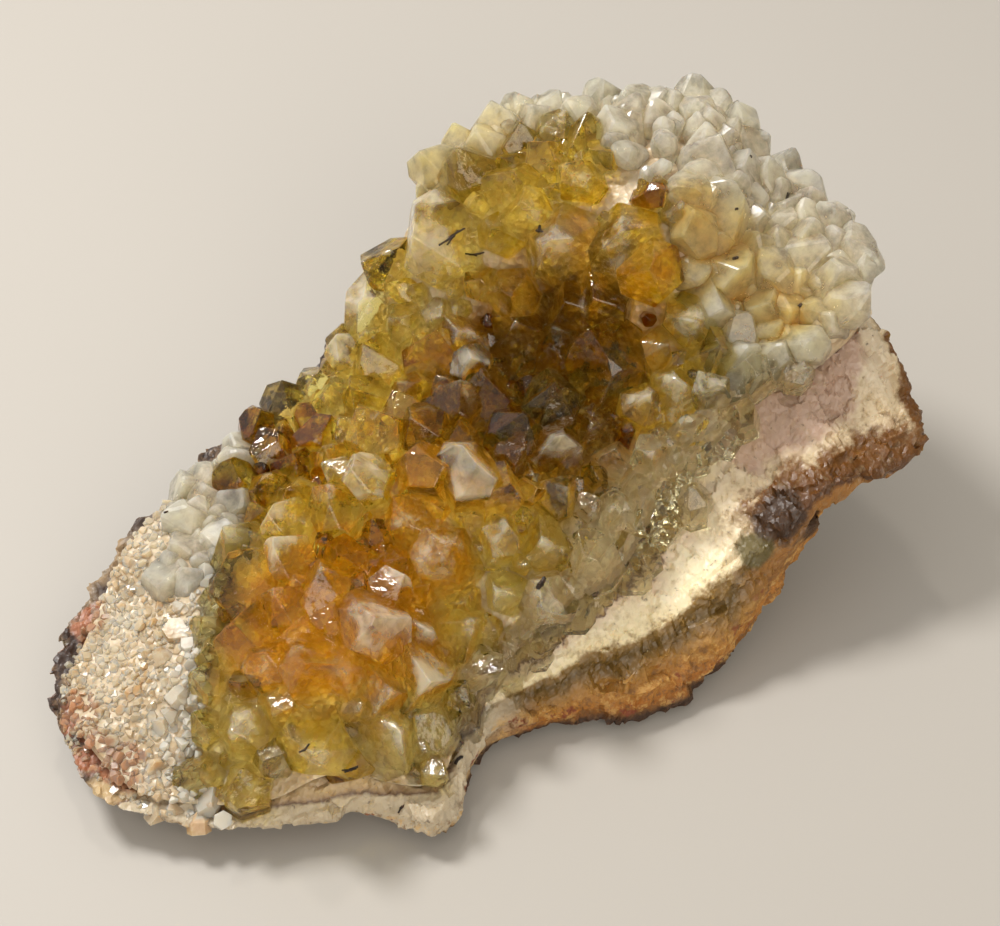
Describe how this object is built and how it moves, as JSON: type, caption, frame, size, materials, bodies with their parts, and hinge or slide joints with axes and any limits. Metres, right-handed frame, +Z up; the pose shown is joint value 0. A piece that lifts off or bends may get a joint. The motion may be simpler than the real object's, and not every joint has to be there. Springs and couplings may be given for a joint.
{
  "type": "citrine with amethyst crystal specimen",
  "caption": "Natural piece of geode wall: golden and clear quartz points on massive quartz with an amethyst band and a rind, lying on a small flat spot.",
  "frame": {"origin": "centre of the bounding box's bottom face, on the surface that the specimen lies on", "axes": "+Z up, +X along the specimen's long way from the low left lobe to the tall dome, -Y towards the broken face"},
  "size_m": [0.1069, 0.0656, 0.0458],
  "materials": {
    "matrix": "broken quartz, white with lilac and brown bands",
    "crystal": "clear to milky crystal faces, golden to amber"
  },
  "bodies": {
    "root": {"quartz_matrix": "matrix", "crystal_crust": "crystal"}
  },
  "joints": []
}
